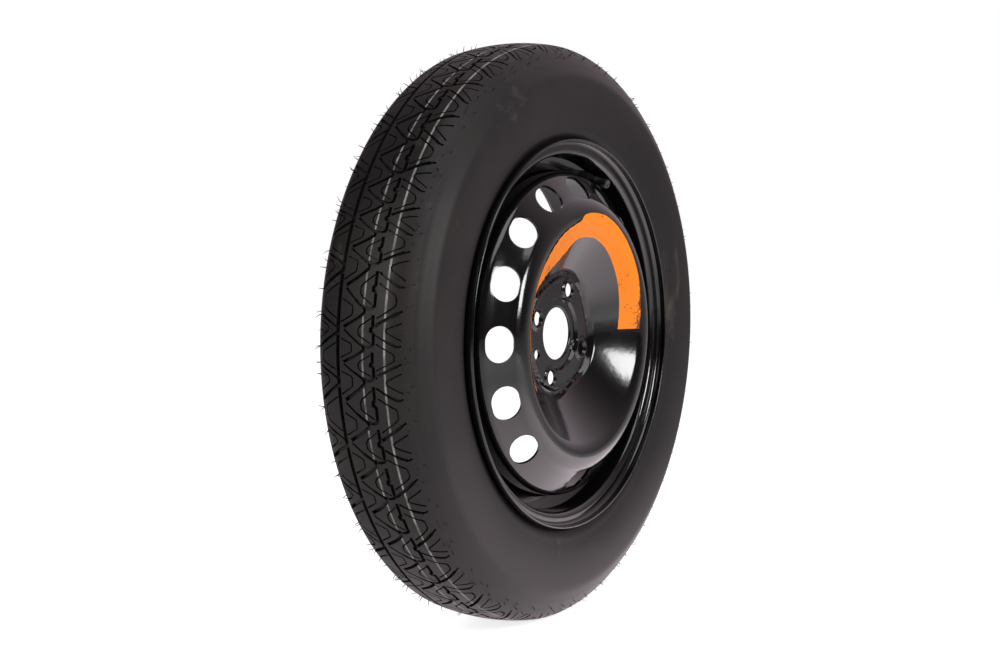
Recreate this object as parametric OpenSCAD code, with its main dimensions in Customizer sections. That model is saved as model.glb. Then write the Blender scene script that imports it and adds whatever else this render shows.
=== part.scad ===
// Space saver spare wheel: a narrow tyre on a pressed steel wheel.
// The axle lies along Y. The street side faces -Y and the hub face lies at y = 0.
// Every section is drawn as points [r, w]: r is the distance from the axle, and
// w is the distance from the tyre's centre plane towards the street side.

/* [Tyre] */
// Radius of the tread at its centre
tyre_r = 305; // [300:0.5:310]
// Half of the tyre's width at its widest point
tyre_half_w = 63.6; // [61:0.2:65]
// Where the sidewall is widest, as a share of the tyre's height from the bead seat
widest_share = 0.66; // [0.55:0.01:0.72]
// Half of the tread's width
tread_half_w = 42; // [38:0.5:46]
// How much lower the tread is at its edge than at its centre
tread_drop = 5; // [2:0.5:8]
// How far the tread pattern's middle sits outboard of the centre plane
tread_shift = 2.3; // [0:0.1:4]
// Thickness of the tyre under the tread's middle
tread_gauge = 9.5; // [7:0.5:12]
// Thickness of the sidewall
side_gauge = 6; // [4:0.5:8]
// Clearance between the tyre's bead and the rim
bead_gap = 0.3; // [0.2:0.05:0.5]

/* [Tread pattern] */
// Groups of pitches round the tyre, each with three middle and two shoulder pitches
pitch_groups = 17; // [12:1:20]
// Greatest shift of a pitch from an even spacing, in degrees
pitch_swing = 3.1; // [0:0.1:4]
// Depth of the main grooves
groove_depth = 3.6; // [2:0.2:5]
// Width of the round grooves
ring_groove_w = 2.8; // [2:0.2:4]
// Width of the bold slanted grooves
bold_groove_w = 1.9; // [1:0.1:3]
// Width of the thin slanted grooves
thin_groove_w = 1.2; // [0.8:0.1:2]

/* [Rim] */
// Radius of the bead seat at the flange
bead_r = 190.1; // [189:0.1:191]
// Half of the distance between the flanges
flange_half_w = 50.8; // [44:0.1:57]
// Height of the flange above the bead seat
flange_h = 14.5; // [13:0.1:16]
// How far the well's floor lies below the bead seat
well_depth = 17.1; // [15:0.1:20]
// Thickness of the rim's sheet
rim_t = 2.2; // [1.8:0.1:2.6]

/* [Disc] */
// Distance of the hub face from the tyre's centre plane
hub_offset = 32; // [28:0.5:38]
// Thickness of the disc's sheet
disc_t = 3; // [2.5:0.1:3.5]
// Distance of the crown's middle from the disc's band
crown_in = 43.8; // [38:0.2:48]
// Height of the crown above the hub face
crown_h = 43.4; // [38:0.2:48]
// Slope of the bowl inside the crown, in degrees
bowl_slope = 32.6; // [28:0.2:38]
// Number of vent holes
vent_count = 16; // [12:1:16]
// Size of a vent hole round the wheel
vent_w = 35.8; // [30:0.2:40]
// Size of a vent hole down the slope
vent_h = 30; // [24:0.2:32]
// Angle of the first vent hole, in degrees
vent_phase = 0.3; // [0:0.1:22]

/* [Hub] */
// Diameter of the centre bore
bore_d = 58.1; // [50:0.1:66]
// Diameter of the bolt circle
bolt_circle_d = 98; // [98:1:100]
// Diameter of a bolt hole at the hub face
bolt_hole_d = 14.6; // [12.5:0.1:15.5]
// Angle of the first bolt hole, in degrees
bolt_phase = 68.2; // [0:0.1:89]
// Diameter of the locating pin's hole
pin_hole_d = 9.6; // [8:0.1:12]
// Angle of the locating pin's hole, in degrees
pin_hole_angle = 203.2; // [195:0.1:210]

/* [Label] */
// Width of the label
label_w = 23; // [18:0.5:28]
// How far the label's middle sits off the axle
label_off = 19; // [0:0.5:20]
// Direction in which the label sits off the axle, in degrees
label_off_angle = 67; // [0:1:180]
// Angle at which the label ends, in degrees
label_end = 228; // [120:1:230]
// Thickness of the label
label_t = 0.3; // [0.2:0.1:0.5]

/* [Valve] */
// Angle of the valve round the wheel, in degrees
valve_angle = 68.2; // [0:0.1:89]
// Tilt of the valve towards the axle, in degrees
valve_tilt = 16; // [10:0.5:22]
// Diameter of the valve's flange on the tyre side
button_d = 13; // [12.5:0.1:14]
// Diameter of the valve hole
valve_hole_d = 11.5; // [11:0.1:12]
// Diameter of the stem's thread
stem_d = 7.7; // [7:0.1:8]
// Distance from the rim to the stem's end
stem_end = 31.5; // [28:0.5:34]

/* [Hidden] */
$fn = 96;

rubber = "#2b2b2b";
steel_black = "#171717";
brass = "#b9a063";
overlap = 0.5;
seat_taper = 5;
heel_r = 4.5;
flange_curl_r = 7.6;
lip_angle = 30;
seat_end = 31;
tread_edge_r = tyre_r - tread_drop;
tyre_widest_r = bead_r + widest_share * (tyre_r - bead_r);
well_r = bead_r - well_depth;

// An arc about c from angle a0 to a1, measured from r towards w
function arc(c, radius, a0, a1, n) =
    [for (i = [0:n]) let (a = a0 + (a1 - a0) * i / n) c + radius * [cos(a), sin(a)]];
// A quadratic curve from a to c that is pulled towards b
function curve(a, b, c, n) =
    [for (i = [0:n]) let (t = i / n) (1 - t) * (1 - t) * a + 2 * t * (1 - t) * b + t * t * c];
function unit(v) = v / norm(v);
function turned(v) = [v.y, -v.x];
function backwards(path) = [for (i = [len(path) - 1:-1:0]) path[i]];
function mirrored(path) = [for (p = path) [p.x, -p.y]];
// A path beside the given one, t to the right of its direction of travel
function beside(path, t) = [
    for (i = [0:len(path) - 1])
        let (
            last = len(path) - 1,
            before = turned(unit(path[max(i, 1)] - path[max(i, 1) - 1])),
            after = turned(unit(path[min(i, last - 1) + 1] - path[min(i, last - 1)]))
        )
        path[i] + t * (before + after) / (1 + before * after)
];
// A sheet of thickness t along a path
function sheet(path, t) = concat(path, backwards(beside(path, t)));

// Stands the wheel up: local z, which is w, points to -Y
module stand_up() {
    translate([0, hub_offset, 0]) rotate([90, 0, 0]) children();
}

module turned_round(section) {
    rotate_extrude($fn = 180) polygon(section);
}

// Radius of the bead seat at distance w from the centre plane
function seat_r(w) = bead_r - (flange_half_w - w) * tan(seat_taper);
heel_c = [seat_r(flange_half_w - heel_r) + heel_r / cos(seat_taper), flange_half_w - heel_r];
heel = arc(heel_c, heel_r, 90, 180 + seat_taper, 3);
curl_c = [bead_r + flange_h - flange_curl_r, flange_half_w + flange_curl_r];

// The tyre's outside from the middle of the tread to the bead
shoulder_pull = [0.8 * tyre_widest_r + 0.2 * tread_edge_r, tyre_half_w];
flange_rest = [curl_c.x, flange_half_w];
sidewall_foot = [bead_r + 18.6, tyre_half_w - 7.4];
function tread_r(w) = tyre_r - tread_drop * pow(w / tread_half_w, 2);
tread_half = [for (i = [0:4]) let (w = tread_half_w * i / 4) [tread_r(w), w]];
sidewall = concat(
    curve([tread_edge_r, tread_half_w], shoulder_pull, [tyre_widest_r, tyre_half_w], 6),
    curve([tyre_widest_r, tyre_half_w], [(tyre_widest_r + sidewall_foot.x) / 2, tyre_half_w + 1],
        sidewall_foot, 5)
);
toe = [seat_r(36.5), 36.5];
bead = concat(
    [[bead_r + 14.6, flange_half_w + 2.1], [curl_c.x + 2.6, flange_half_w + 0.4 - bead_gap]],
    beside(concat([flange_rest], heel, [toe]), -bead_gap)
);
inner_r = tyre_r - tread_gauge;
inner_w = tyre_half_w - side_gauge;
inner_foot = [bead_r + 21.9, flange_half_w - 2.8];
inner_widest = [tyre_widest_r - 4, inner_w];
tyre_inside = concat(
    [[bead_r + 10.9, flange_half_w - 10.3]],
    curve(inner_foot, [(inner_foot.x + inner_widest.x) / 2, inner_w + 2], inner_widest, 4),
    [[(tyre_widest_r + inner_r) / 2 - 3.7, inner_w - 3.6], [inner_r - 7.5, inner_w - 13.6]],
    [[inner_r - 2, inner_w / 2], [inner_r, 0]]
);
tyre_half = concat(tread_half, [for (i = [1:len(sidewall) - 1]) sidewall[i]], bead, tyre_inside);

// Angle of a tread feature after the uneven pitch is applied
function pitched(a) = a + pitch_swing * sin(2 * a + 229);

// One straight slot in the tread from angle a1 and place w1 to a2 and w2
module tread_slot(a1, w1, a2, w2, width, depth) {
    middle_w = (w1 + w2) / 2;
    middle_r = tread_r(middle_w - tread_shift);
    round_l = (pitched(a2) - pitched(a1)) * PI / 180 * middle_r;
    side_l = w2 - w1;
    fall = atan(2 * tread_drop * (middle_w - tread_shift) / pow(tread_half_w, 2));
    lift = 8;
    rotate([0, 0, (pitched(a1) + pitched(a2)) / 2])
        translate([middle_r, 0, middle_w])
            rotate([0, fall, 0])
                rotate([atan2(round_l, side_l) * -1, 0, 0])
                    translate([-depth, -width / 2, -norm([round_l, side_l]) / 2])
                        cube([depth + lift, width, norm([round_l, side_l])]);
}

middle_pitch = 360 / (3 * pitch_groups);
shoulder_pitch = 360 / (2 * pitch_groups);
middle_start = 131.9;
shoulder_start = 134.7;
groove_in_w = -17.2;
groove_out_w = 21.8;
zigzag_in_w = -11.5;
zigzag_out_w = 11.5;
shoulder_in_w = -40;
shoulder_out_w = 49;

// The zigzag between the two round grooves
module middle_zigzag() {
    for (i = [0:3 * pitch_groups - 1]) {
        knot = middle_start + i * middle_pitch;
        left = knot + 0.45 * middle_pitch;
        tread_slot(knot - 0.08 * middle_pitch, zigzag_out_w, knot + 0.1 * middle_pitch,
            zigzag_out_w, bold_groove_w, groove_depth);
        tread_slot(knot + 0.08 * middle_pitch, zigzag_out_w, left, zigzag_in_w, bold_groove_w, groove_depth);
        tread_slot(left, zigzag_in_w, knot + 0.94 * middle_pitch, zigzag_out_w, thin_groove_w,
            groove_depth * 0.7);
    }
}

// The slanted grooves of both shoulders
module shoulder_grooves() {
    for (i = [0:2 * pitch_groups - 1]) {
        knot = shoulder_start + i * shoulder_pitch;
        tread_slot(knot, groove_out_w, knot - 0.3 * shoulder_pitch, shoulder_out_w, bold_groove_w, groove_depth);
        tread_slot(knot + 0.16 * shoulder_pitch, groove_out_w, knot + 0.42 * shoulder_pitch,
            shoulder_out_w - 1, thin_groove_w, groove_depth * 0.7);
        tread_slot(knot + 0.08 * shoulder_pitch, groove_in_w, knot + 0.36 * shoulder_pitch,
            shoulder_in_w - 3, bold_groove_w, groove_depth);
        tread_slot(knot, groove_in_w, knot - 0.26 * shoulder_pitch, shoulder_in_w - 3, thin_groove_w,
            groove_depth * 0.7);
    }
}

module ring_groove(w) {
    floor_r = tread_r(w - tread_shift) - groove_depth;
    turned_round([
        [floor_r, w - ring_groove_w / 2], [tyre_r + overlap, w - ring_groove_w / 2],
        [tyre_r + overlap, w + ring_groove_w / 2], [floor_r, w + ring_groove_w / 2],
    ]);
}

module tyre() {
    color(rubber) stand_up() difference() {
        turned_round(concat(tyre_half, backwards([for (i = [1:len(tyre_half) - 2]) mirrored(tyre_half)[i]])));
        ring_groove(groove_in_w);
        ring_groove(groove_out_w);
        middle_zigzag();
        shoulder_grooves();
    }
}

// The rim's tyre side, from the outboard lip to the inboard lip
valve_wall_l = button_d + 0.6;
valve_r = well_r + 0.7 + button_d / 2;
wall_foot = [well_r + 0.8, 25.06];
wall_top = wall_foot + valve_wall_l * [1, tan(valve_tilt)];
rim_path = concat(
    arc(curl_c, flange_curl_r, lip_angle, -90, 6),
    heel,
    [[seat_r(seat_end), seat_end], wall_top, wall_foot, [well_r, 23.6], [well_r, -6]],
    [[well_r + 1.6, -10], [well_r + 13.6, -26.5], [seat_r(seat_end), -seat_end]],
    backwards(mirrored(heel)),
    backwards(mirrored(arc(curl_c, flange_curl_r, lip_angle, -90, 6)))
);

// Places its children on the valve's axis, with z = 0 at the middle of the rim's sheet
valve_w = wall_foot.y + (valve_r - wall_foot.x) * tan(valve_tilt) + rim_t / 2 / cos(valve_tilt);
module at_valve() {
    rotate([0, 0, valve_angle]) translate([valve_r, 0, valve_w]) rotate([0, -valve_tilt, 0]) children();
}

module rim() {
    color(steel_black) stand_up() difference() {
        turned_round(sheet(rim_path, rim_t));
        at_valve() cylinder(h = 12, d = valve_hole_d, center = true);
    }
}

// The disc's street side, from the band's inboard edge to the bore
band_r = well_r - rim_t;
band_in_w = -2;
shoulder_c = [band_r - 12, 41.7];
vent_slope = 38;
crown_round_r = 23.75;
crown_r = band_r - crown_in;
crown_c = [crown_r, hub_offset + crown_h - crown_round_r];
face_w = hub_offset + disc_t;
dish_round_r = 14;
bowl_top = crown_c + crown_round_r * [cos(90 + bowl_slope), sin(90 + bowl_slope)];
// Centre of the fillet between the bowl's slope and the flat round the bore
dish_c = [
    bowl_top.x + (face_w + dish_round_r - bowl_top.y) / tan(bowl_slope) - dish_round_r / sin(bowl_slope),
    face_w + dish_round_r,
];
shoulder_arc = arc(shoulder_c, 12, 0, 90 - vent_slope, 4);
crown_arc = arc(crown_c, crown_round_r, 90 - vent_slope, 90 + bowl_slope, 7);
// The middle of the slope that carries the vents, which is pressed slightly hollow
slope_middle = (shoulder_arc[4] + crown_arc[0]) / 2 - [0.3, 0.7];
dish_arc = arc(dish_c, dish_round_r, bowl_slope - 90, -90, 3);
disc_path = concat(
    [[band_r, band_in_w]],
    shoulder_arc,
    [slope_middle],
    crown_arc,
    dish_arc,
    [[bore_d / 2, face_w]]
);

// A square with rounded corners that point at the bolt holes
module corner_pad(half, corner) {
    rotate(bolt_phase - 45) {
        square([2 * half, 2 * (half - corner)], center = true);
        square([2 * (half - corner), 2 * half], center = true);
        for (x = [-1, 1], y = [-1, 1])
            translate([x, y] * (half - corner)) circle(corner);
    }
}

pocket_half = bolt_circle_d / 2 + 13;
pocket_corner = pocket_half - 17;
raised_half = pocket_half - 5;
raised_corner = pocket_corner - 5;
ring_step_r = bore_d / 2 + 9;
bolt_collar_h = 2;

module pad_solid(half, corner, from_w, to_w) {
    translate([0, 0, from_w]) linear_extrude(to_w - from_w) corner_pad(half, corner);
}

// The bowl's sheet with the pocket for the hub pad cut out of it
module disc_sheet() {
    difference() {
        turned_round(sheet(disc_path, -disc_t));
        pad_solid(pocket_half, pocket_corner, face_w, face_w + 25);
    }
}

// The pocket's floor and the wall that joins it to the bowl
module hub_pocket() {
    pad_solid(pocket_half + disc_t, pocket_corner + disc_t, hub_offset, face_w);
    intersection() {
        difference() {
            pad_solid(pocket_half + disc_t, pocket_corner + disc_t, hub_offset, face_w + 25);
            pad_solid(pocket_half, pocket_corner, face_w, face_w + 26);
        }
        turned_round(concat([for (p = disc_path) if (p.x < crown_r) p], [[0, face_w], [0, 0], [crown_r, 0]]));
    }
}

module at_bolts() {
    for (i = [0:3]) rotate([0, 0, bolt_phase + 90 * i]) translate([bolt_circle_d / 2, 0, 0]) children();
}

module bolt_hole() {
    cone_from = face_w + disc_t - 1.8;
    cone_l = 1.8 + bolt_collar_h;
    translate([0, 0, hub_offset - overlap]) cylinder(h = 20, d = bolt_hole_d);
    translate([0, 0, cone_from])
        cylinder(h = cone_l, d1 = bolt_hole_d, d2 = bolt_hole_d + 2 * cone_l * tan(30));
    translate([0, 0, cone_from + cone_l])
        cylinder(h = 6, d = bolt_hole_d + 2 * cone_l * tan(30));
}

module vent_hole() {
    side = (vent_w - vent_h) / 2;
    linear_extrude(16, center = true) {
        square([vent_h, 2 * side], center = true);
        for (y = [-side, side]) translate([0, y]) circle(d = vent_h, $fn = 48);
    }
}

module wheel_disc() {
    color(steel_black) stand_up() difference() {
        union() {
            disc_sheet();
            hub_pocket();
            pad_solid(raised_half, raised_corner, face_w - overlap, face_w + disc_t);
            at_bolts() translate([0, 0, face_w + disc_t - overlap])
                cylinder(h = bolt_collar_h + overlap, r1 = 15, r2 = 12.5);
        }
        // The back of the raised pad, outside the ring that meets the hub
        difference() {
            pad_solid(raised_half - disc_t, raised_corner - disc_t, hub_offset - overlap, face_w);
            cylinder(h = face_w, r = ring_step_r + disc_t);
        }
        translate([0, 0, face_w]) cylinder(h = 20, r = ring_step_r);
        cylinder(h = 80, d = bore_d);
        at_bolts() bolt_hole();
        rotate([0, 0, pin_hole_angle]) translate([bolt_circle_d / 2, 0, 0]) cylinder(h = 80, d = pin_hole_d);
        for (i = [0:vent_count - 1])
            rotate([0, 0, vent_phase + i * 360 / vent_count])
                translate([slope_middle.x - 0.7, 0, slope_middle.y + 0.4])
                    rotate([0, vent_slope, 0]) vent_hole();
    }
}

weld_count = 6;
weld_angle = 34;
weld_leg = 2.9;

// Fillet welds between the band's inboard edge and the rim's well
module disc_welds() {
    color(steel_black) stand_up()
        for (i = [0:weld_count - 1])
            rotate([0, 0, i * 360 / weld_count + 13])
                rotate_extrude(angle = weld_angle)
                    polygon([[band_r, band_in_w], [band_r, band_in_w - weld_leg], [band_r - weld_leg, band_in_w]]);
}

// A printed band, bare here, stuck on the bowl's slope
module label() {
    label_outer_r = crown_r - 17.5;
    label_inner_r = label_outer_r - label_w;
    edge = label_outer_r + label_off;
    glue_t = 0.03;
    path = concat([for (p = crown_arc) if (p.x < crown_r + 6) p], [dish_arc[0]]);
    color("#ff962c") stand_up() intersection() {
        turned_round(sheet(beside(path, glue_t), label_t));
        linear_extrude(120) difference() {
            intersection() {
                translate(label_off * [cos(label_off_angle), sin(label_off_angle)]) circle(label_outer_r);
                polygon(concat([[0, 0]], [for (i = [0:6]) 2 * edge * [cos(label_end * i / 6), sin(label_end * i / 6)]]));
            }
            translate(label_off * [cos(label_off_angle), sin(label_off_angle)]) circle(label_inner_r);
        }
    }
}

neck_l = rim_t;
tube_d = 5.8;
rubber_top = 19.5;
thread_from = 20;
bore_low_d = 3.2;
barrel_d = 4;
thread_bore_d = 5.1;
step_z = 17;

// The snap-in rubber body, with a groove that holds the rim's edge
module valve_body() {
    color(rubber) stand_up() at_valve() turned_round([
        [tube_d / 2, -10], [5.2, -10], [5.9, -6.5], [button_d / 2, -4.6], [button_d / 2, -neck_l / 2],
        [valve_hole_d / 2, -neck_l / 2], [valve_hole_d / 2, neck_l / 2], [button_d / 2 - 0.4, neck_l / 2],
        [button_d / 2, 3.4], [5.6, 9.5], [4.6, 13], [4.5, rubber_top], [tube_d / 2, rubber_top],
    ]);
}

// The brass stem in the rubber, with its outside thread as a plain cylinder
module valve_stem() {
    color(brass) stand_up() at_valve() turned_round([
        [bore_low_d / 2, -10], [tube_d / 2, -10], [tube_d / 2, rubber_top], [stem_d / 2 - 0.4, rubber_top],
        [stem_d / 2, thread_from + 0.4], [stem_d / 2, stem_end - 0.6], [stem_d / 2 - 0.6, stem_end],
        [thread_bore_d / 2, stem_end], [thread_bore_d / 2, step_z + 6], [barrel_d / 2 + 0.1, step_z + 4],
        [barrel_d / 2 + 0.1, step_z - 5], [bore_low_d / 2, step_z - 6.5],
    ]);
}

plug_from = stem_end - 6.2;
plug_to = stem_end - 0.8;
pin_d = 1.2;

// The threaded plug that holds the core in the stem
module core_plug() {
    color(brass) stand_up() at_valve() difference() {
        turned_round([
            [1.25, plug_from], [thread_bore_d / 2, plug_from], [thread_bore_d / 2, plug_to - 1.2],
            [1.9, plug_to], [1.25, plug_to],
        ]);
        for (a = [0, 180])
            rotate([0, 0, a]) translate([1.5, -2, plug_to - 2]) cube([3, 4, 3]);
    }
}

// The barrel below the plug, in which the pin and its spring slide
module core_barrel() {
    color(brass) stand_up() at_valve() turned_round([
        [0.75, step_z], [1.6, step_z], [barrel_d / 2, step_z + 1], [barrel_d / 2, plug_from],
        [1.45, plug_from], [1.45, step_z + 1.2], [0.75, step_z + 1.2],
    ]);
}

// The sealing ring round the barrel
module core_gasket() {
    color("#8c2f24") stand_up() at_valve() turned_round([
        [barrel_d / 2, step_z + 4.1], [barrel_d / 2 + 0.1, step_z + 4.1], [thread_bore_d / 2, step_z + 6.1],
        [thread_bore_d / 2, plug_from], [barrel_d / 2, plug_from],
    ]);
}

spring_from = step_z + 1.2;
collar_z = plug_to - 3.2;
wire_r = 0.16;
coil_r = 1.05;
spring_turns = 7;
turn_steps = 14;
wire_sides = 6;

// One ring of points on the spring's wire, at step i
function wire_ring(i) =
    let (
        a = 360 * i / turn_steps,
        z = spring_from + wire_r + (collar_z - spring_from - 2 * wire_r) * i / (spring_turns * turn_steps)
    )
    [for (k = [0:wire_sides - 1]) let (b = 360 * k / wire_sides)
        [(coil_r + wire_r * cos(b)) * cos(a), (coil_r + wire_r * cos(b)) * sin(a), z + wire_r * sin(b)]];

// The spring that pushes the pin out
module core_spring() {
    rings = spring_turns * turn_steps;
    color("#b8b8b8") stand_up() at_valve() polyhedron(
        points = [for (i = [0:rings]) each wire_ring(i)],
        faces = concat(
            [[for (k = [0:wire_sides - 1]) k]],
            [for (i = [0:rings - 1], k = [0:wire_sides - 1])
                let (n = (k + 1) % wire_sides, a = i * wire_sides, b = a + wire_sides)
                each [[a + k, b + k, b + n], [a + k, b + n, a + n]]],
            [[for (k = [wire_sides - 1:-1:0]) rings * wire_sides + k]]
        )
    );
}

cup_from = step_z - 2.2;

// The pin, with the collar that the spring pushes on
module core_pin() {
    color(brass) stand_up() at_valve() turned_round([
        [0, cup_from - 2], [pin_d / 2, cup_from - 2], [pin_d / 2, collar_z], [1.2, collar_z],
        [1.2, collar_z + 0.6], [pin_d / 2, collar_z + 1.2], [pin_d / 2, stem_end - 0.4], [0, stem_end - 0.4],
    ]);
}

// The cup on the pin's inner end
module core_cup() {
    color(brass) stand_up() at_valve() turned_round([
        [pin_d / 2, cup_from], [1.75, cup_from], [1.75, step_z - 0.5], [1.5, step_z - 0.5],
        [1.5, cup_from + 0.5], [pin_d / 2, cup_from + 0.5],
    ]);
}

// The rubber ring in the cup that closes the barrel
module core_cup_seal() {
    color(rubber) stand_up() at_valve() turned_round([
        [pin_d / 2, cup_from + 0.5], [1.5, cup_from + 0.5], [1.5, step_z], [pin_d / 2, step_z],
    ]);
}

cap_d = 9.6;
cap_from = stem_end - 9;
cap_seal_t = 1;
cap_top = stem_end + cap_seal_t + 1.7;
cap_gap = 0.08;
cap_ribs = 14;

// The soft ring between the stem's end and the cap
module cap_seal() {
    color("#3a3a3a") stand_up() at_valve() translate([0, 0, stem_end]) difference() {
        cylinder(h = cap_seal_t, r = stem_d / 2 - cap_gap);
        translate([0, 0, -1]) cylinder(h = cap_seal_t + 2, r = 1.7);
    }
}

// The screwed dust cap, with ribs for the fingers
module valve_cap() {
    color(rubber) stand_up() at_valve() difference() {
        turned_round([
            [0, stem_end + cap_seal_t], [stem_d / 2 + cap_gap, stem_end + cap_seal_t],
            [stem_d / 2 + cap_gap, cap_from], [cap_d / 2, cap_from], [cap_d / 2, cap_top - 1],
            [cap_d / 2 - 0.3, cap_top - 0.3], [cap_d / 2 - 1, cap_top], [cap_d / 2 - 1.4, cap_top],
            [cap_d / 2 - 1.9, cap_top - 0.4], [0, cap_top - 0.4],
        ]);
        for (i = [0:cap_ribs - 1])
            rotate([0, 0, i * 360 / cap_ribs]) translate([cap_d / 2 + 0.25, 0, cap_from - 1])
                cylinder(h = 8.4, r = 0.55, $fn = 16);
    }
}

tyre();
rim();
wheel_disc();
disc_welds();
label();
valve_body();
valve_stem();
core_plug();
core_barrel();
core_gasket();
core_spring();
core_pin();
core_cup();
core_cup_seal();
cap_seal();
valve_cap();
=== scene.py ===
import math
import random

import bmesh
import bpy
import numpy as np
from mathutils import Matrix, Vector


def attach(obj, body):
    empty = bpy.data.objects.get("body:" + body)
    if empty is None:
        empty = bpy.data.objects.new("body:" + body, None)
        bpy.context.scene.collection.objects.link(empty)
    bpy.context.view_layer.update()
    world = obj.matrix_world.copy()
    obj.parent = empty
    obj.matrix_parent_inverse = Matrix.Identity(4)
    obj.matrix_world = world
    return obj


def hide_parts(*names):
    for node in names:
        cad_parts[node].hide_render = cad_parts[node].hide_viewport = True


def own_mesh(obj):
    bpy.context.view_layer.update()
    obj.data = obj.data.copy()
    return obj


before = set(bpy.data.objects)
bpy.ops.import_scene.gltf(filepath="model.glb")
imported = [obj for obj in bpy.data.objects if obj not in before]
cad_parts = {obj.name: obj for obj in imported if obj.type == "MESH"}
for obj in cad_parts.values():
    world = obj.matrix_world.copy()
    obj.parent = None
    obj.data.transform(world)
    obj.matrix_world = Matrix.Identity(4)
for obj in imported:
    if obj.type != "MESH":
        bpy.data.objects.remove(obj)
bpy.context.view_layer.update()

# The camera stands low and to the left of the wheel, at the photograph's angle.
camera_data = bpy.data.cameras.new("camera")
camera = bpy.data.objects.new("camera", camera_data)
bpy.context.scene.collection.objects.link(camera)
bpy.context.scene.camera = camera
camera.location = (-1.3673, -0.8040, 0.1113)
camera.rotation_euler = [math.radians(angle) for angle in (85.982, 0.077, -57.4545)]
camera_data.lens = 53.894
camera_data.sensor_width = 36

# The tyre is one piece of moulded rubber, vulcanised in a two-part mould.
# Its section is drawn as points (r, w) in millimetres: r from the axle, and w from the
# tyre's middle towards the street side. The hub face lies 32 mm from that middle.
hub_offset = 32.0


def bezier(a, b, c, count):
    a, b, c = np.array(a, float), np.array(b, float), np.array(c, float)
    t = np.linspace(0, 1, count + 1)[:, None]
    return (1 - t) ** 2 * a + 2 * t * (1 - t) * b + t * t * c


def arc(centre, radius, start, end, count):
    angles = np.radians(np.linspace(start, end, count + 1))
    return np.array(centre) + radius * np.stack([np.cos(angles), np.sin(angles)], 1)


tyre_r = 305.0
bead_r = 190.1
flange_w = 50.8
heel_fillet = 4.5
seat_tilt = math.radians(5)


def seat_r(w):
    return bead_r - (flange_w - w) * math.tan(seat_tilt)


heel_c = (seat_r(flange_w - heel_fillet) + heel_fillet / math.cos(seat_tilt), flange_w - heel_fillet)
tread_w = np.linspace(0, 33, 34)
sidewall_top = bezier((300, 42), (273, 63.6), (266, 63.6), 40)
tyre_half = np.concatenate([
    np.stack([tyre_r - 5 * (tread_w / 42) ** 2, tread_w], 1),
    bezier((301.91, 33), (299.9, 42.2), sidewall_top[9], 16)[1:],
    sidewall_top[10:],
    bezier((266, 63.6), (236, 64.6), (208.7, 56.2), 60)[1:],
    [[204.7, 52.9], [197.5, 50.8]],
    arc(heel_c, heel_fillet, 90, 185, 8),
    [[seat_r(36.5), 36.5], [201, 40.5], [224, 54], [262, 57.6], [288, 44], [295.5, 0]],
])
along = np.concatenate([[0], np.cumsum(np.linalg.norm(np.diff(tyre_half, axis=0), axis=1))])
toe_at = int(np.argmin(np.abs(tyre_half[:, 1] - 36.5) + (tyre_half[:, 0] > 195) * 100))

# Moulded rings that stand out of the sidewall: radius, half width and height
sidewall_rings = [
    (214.5, 1.5, 0.9), (221.0, 0.8, 0.35), (246.0, 0.5, 0.3), (281.5, 0.8, 0.4), (289.0, 0.7, 0.35),
]


def tyre_section(t):
    """Radius, width and outward direction at distance t round the section from the tread's middle."""
    side = np.where(t < 0, -1.0, 1.0)
    s = np.abs(t)
    r = np.interp(s, along, tyre_half[:, 0])
    w = np.interp(s, along, tyre_half[:, 1])
    dr = np.interp(s + 0.8, along, tyre_half[:, 0]) - np.interp(s - 0.8, along, tyre_half[:, 0])
    dw = np.interp(s + 0.8, along, tyre_half[:, 1]) - np.interp(np.abs(s - 0.8), along, tyre_half[:, 1])
    dw = np.where(s < 0.8, 1.6, dw)
    size = np.hypot(dr, dw)
    nr, nw = dw / size, -dr / size
    lift = np.zeros_like(s)
    for ring_r, half, height in sidewall_rings:
        lift += height * np.exp(-(((r - ring_r) / half) ** 4)) * (s > 44) * (s < along[toe_at])
    return r + nr * lift, side * (w + nw * lift), nr, side * nw


# The tread is laid out flat: x runs round the tyre and y across it, in millimetres.
pitch_groups = 17
group_l = 2 * math.pi * tyre_r / pitch_groups
middle_pitch = 360 / (3 * pitch_groups)
shoulder_pitch = 360 / (2 * pitch_groups)
first_middle = 131.93
first_shoulder = 134.73
group_start = first_middle - 3.5
columns = 20
tread_edge = 58.0
tread_thick = 6.0
t_table = np.linspace(0, tread_edge, 400)
w_table = np.interp(t_table, along, tyre_half[:, 1])


def flat(w, degrees):
    """The place on the flat tread of a point at width w and at that angle."""
    t = math.copysign(float(np.interp(abs(w), w_table, t_table)), w)
    return np.array([math.radians(degrees - group_start) * tyre_r, t])


def deselect():
    bpy.ops.object.select_all(action="DESELECT")


def new_grid(name, x_count, y_count):
    deselect()
    bpy.ops.mesh.primitive_grid_add(x_subdivisions=x_count, y_subdivisions=y_count, size=1)
    bpy.context.object.name = name
    return bpy.context.object


def moved_points(piece, change):
    co = np.zeros(len(piece.data.vertices) * 3)
    piece.data.vertices.foreach_get("co", co)
    co = change(co.reshape(-1, 3))
    piece.data.vertices.foreach_set("co", co.ravel())
    piece.data.update()


def only(piece):
    deselect()
    piece.select_set(True)
    bpy.context.view_layer.objects.active = piece


def joined(parts):
    """The parts made one object, which keeps the first one's name."""
    deselect()
    for part in parts:
        part.select_set(True)
    bpy.context.view_layer.objects.active = parts[0]
    bpy.ops.object.join()
    return parts[0]


def facing_out(piece, merge=0.0):
    """Merges points that lie closer than that, and turns all faces outwards."""
    only(piece)
    bpy.ops.object.mode_set(mode="EDIT")
    bpy.ops.mesh.select_all(action="SELECT")
    if merge:
        bpy.ops.mesh.remove_doubles(threshold=merge)
    bpy.ops.mesh.normals_make_consistent(inside=False)
    bpy.ops.object.mode_set(mode="OBJECT")


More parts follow.
